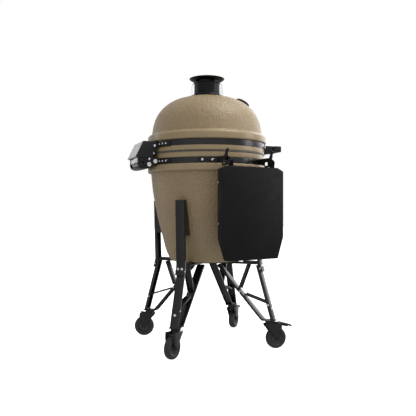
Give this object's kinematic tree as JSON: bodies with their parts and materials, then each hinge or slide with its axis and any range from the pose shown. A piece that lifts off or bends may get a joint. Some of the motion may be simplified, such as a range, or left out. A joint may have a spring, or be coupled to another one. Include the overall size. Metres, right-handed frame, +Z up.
{
  "type": "kamado ceramic grill",
  "caption": "Egg-shaped ceramic charcoal grill with banded shell, hinged domed lid, vented chimney, folding side tables and a trussed stand on swivel castors.",
  "frame": {"origin": "floor level under the shell's vertical axis, at the bottom centre of the bounding box", "axes": "+Z up along the shell axis, -Y towards the lid handle (front), +Y towards the hinge, side tables on -X and +X"},
  "size_m": [0.8066, 0.758, 1.312],
  "materials": {
    "glazed_ceramic_sand": "orange-peel glaze, satin",
    "raw_ceramic": "unglazed refractory",
    "felt_black": "pressed felt",
    "band_black": "satin powder coat",
    "cast_iron": "as cast",
    "grate_steel": "polished wire",
    "brushed_steel": "brushed",
    "spring_chrome": "bright",
    "bolt_steel": "bright",
    "handle_black": "fine matt",
    "gauge_black": "gloss",
    "dial_white": "printed numbers",
    "needle_red": "matt",
    "gauge_glass": "clear",
    "chimney_black": "satin enamel",
    "table_black": "fine textured powder coat",
    "castor_tyre": "soft rubber",
    "castor_hub": "moulded",
    "castor_fork_steel": "pressed steel",
    "brake_steel": "pressed steel",
    "coated_steel_black": "satin powder coat"
  },
  "bodies": {
    "base": {"bowl_band": "band_black", "bowl_bolts": "bolt_steel", "bowl_gasket": "felt_black", "castor_plates": "coated_steel_black", "ceramic_bowl": "glazed_ceramic_sand", "charcoal_grate": "cast_iron", "cooking_grate": "grate_steel", "corner_posts": "coated_steel_black", "cross_braces": "coated_steel_black", "draft_frame": "brushed_steel", "fire_box": "raw_ceramic", "fire_ring": "raw_ceramic", "hinge_bracket": "coated_steel_black", "hinge_pin": "bolt_steel", "hinge_spring": "spring_chrome", "inner_struts": "coated_steel_black", "long_diagonals": "coated_steel_black", "outer_legs": "coated_steel_black", "spring_guard": "brushed_steel", "spring_rod": "spring_chrome", "stand_bolts": "bolt_steel", "support_plate": "coated_steel_black", "table_brackets": "coated_steel_black", "table_pins": "coated_steel_black", "top_links": "coated_steel_black"},
    "lid": {"lid_dome": "glazed_ceramic_sand", "lid_gasket": "felt_black", "lid_band": "band_black", "lid_bolts": "bolt_steel", "hinge_hood": "coated_steel_black", "hinge_cover": "brushed_steel", "handle_brackets": "coated_steel_black", "handle_bar": "handle_black", "thermometer_case": "gauge_black", "thermometer_dial": "dial_white", "thermometer_glass": "gauge_glass", "chimney_base": "chimney_black", "chimney_tube": "chimney_black", "chimney_clips": "spring_chrome"},
    "chimney_cap": {"chimney_cap": "chimney_black"},
    "needle": {"thermometer_needle": "needle_red"},
    "draft_door": {"draft_door": "brushed_steel"},
    "table_left": {"side_table_left": "table_black"},
    "table_right": {"side_table_right": "table_black"},
    "latches_left": {"table_latches_left": "coated_steel_black"},
    "latches_right": {"table_latches_right": "coated_steel_black"},
    "castor_rear_left": {"castor_fork_rear_left": "castor_fork_steel"},
    "wheel_rear_left": {"wheel_hub_rear_left": "castor_hub", "wheel_tyre_rear_left": "castor_tyre"},
    "castor_rear_right": {"castor_fork_rear_right": "castor_fork_steel"},
    "wheel_rear_right": {"wheel_hub_rear_right": "castor_hub", "wheel_tyre_rear_right": "castor_tyre"},
    "castor_front_left": {"castor_fork_front_left": "castor_fork_steel"},
    "wheel_front_left": {"wheel_hub_front_left": "castor_hub", "wheel_tyre_front_left": "castor_tyre"},
    "castor_front_right": {"castor_fork_front_right": "castor_fork_steel"},
    "wheel_front_right": {"wheel_hub_front_right": "castor_hub", "wheel_tyre_front_right": "castor_tyre"},
    "brake_front_left": {"brake_pedal_front_left": "brake_steel"},
    "brake_front_right": {"brake_pedal_front_right": "brake_steel"}
  },
  "joints": [
    {"name": "lid_hinge", "type": "hinge", "parent": "base", "child": "lid", "pos_m": [0, 0.316, 0.861], "axis": [-1, 0, 0], "range_deg": [0, 70]},
    {"name": "chimney_cap_turn", "type": "hinge", "parent": "lid", "child": "chimney_cap", "pos_m": [0, 0, 1.3], "axis": [0, 0, 1], "range_deg": [0, 30]},
    {"name": "draft_door_slide", "type": "hinge", "parent": "base", "child": "draft_door", "pos_m": [0, 0, 0.477], "axis": [0, 0, 1], "range_deg": [0, 35]},
    {"name": "needle_turn", "type": "hinge", "parent": "lid", "child": "needle", "pos_m": [0, -0.19075, 1.18989], "axis": [0, 0.5, -0.866], "range_deg": [0, 240], "stiffness_Nm_per_rad": 0.002},
    {"name": "table_left_fold", "type": "hinge", "parent": "base", "child": "table_left", "pos_m": [-0.34572, -0.08492, 0.863], "axis": [-0.2385, 0.9711, 0], "range_deg": [0, 90]},
    {"name": "table_left_latch", "type": "hinge", "parent": "base", "child": "latches_left", "pos_m": [-0.32144, -0.07895, 0.877], "axis": [0.2385, -0.9711, 0], "range_deg": [0, 50]},
    {"name": "table_right_fold", "type": "hinge", "parent": "base", "child": "table_right", "pos_m": [0.34572, -0.08492, 0.863], "axis": [-0.2385, -0.9711, 0], "range_deg": [0, 90]},
    {"name": "table_right_latch", "type": "hinge", "parent": "base", "child": "latches_right", "pos_m": [0.32144, -0.07895, 0.877], "axis": [0.2385, 0.9711, 0], "range_deg": [0, 50]},
    {"name": "castor_rear_left_swivel", "type": "hinge", "parent": "base", "child": "castor_rear_left", "pos_m": [-0.23122, 0.23122, 0.115], "axis": [0, 0, 1], "continuous": true},
    {"name": "wheel_rear_left_spin", "type": "hinge", "parent": "castor_rear_left", "child": "wheel_rear_left", "pos_m": [-0.25013, 0.25321, 0.05], "axis": [-0.7581, -0.6521, 0], "continuous": true},
    {"name": "castor_rear_right_swivel", "type": "hinge", "parent": "base", "child": "castor_rear_right", "pos_m": [0.23122, 0.23122, 0.115], "axis": [0, 0, 1], "continuous": true},
    {"name": "wheel_rear_right_spin", "type": "hinge", "parent": "castor_rear_right", "child": "wheel_rear_right", "pos_m": [0.24209, 0.25811, 0.05], "axis": [-0.9272, 0.3746, 0], "continuous": true},
    {"name": "castor_front_left_swivel", "type": "hinge", "parent": "base", "child": "castor_front_left", "pos_m": [-0.23122, -0.23122, 0.115], "axis": [0, 0, 1], "continuous": true},
    {"name": "wheel_front_left_spin", "type": "hinge", "parent": "castor_front_left", "child": "wheel_front_left", "pos_m": [-0.23239, -0.2602, 0.05], "axis": [0.9992, -0.0401, 0], "continuous": true},
    {"name": "brake_front_left_press", "type": "hinge", "parent": "castor_front_left", "child": "brake_front_left", "pos_m": [-0.23291, -0.27319, 0.1155], "axis": [0.9992, -0.0401, 0], "range_deg": [0, 12]},
    {"name": "castor_front_right_swivel", "type": "hinge", "parent": "base", "child": "castor_front_right", "pos_m": [0.23122, -0.23122, 0.115], "axis": [0, 0, 1], "continuous": true},
    {"name": "wheel_front_right_spin", "type": "hinge", "parent": "castor_front_right", "child": "wheel_front_right", "pos_m": [0.25304, -0.25033, 0.05], "axis": [0.6587, 0.7524, 0], "continuous": true},
    {"name": "brake_front_right_press", "type": "hinge", "parent": "castor_front_right", "child": "brake_front_right", "pos_m": [0.26282, -0.25889, 0.1155], "axis": [0.6587, 0.7524, 0], "range_deg": [0, 12]}
  ]
}
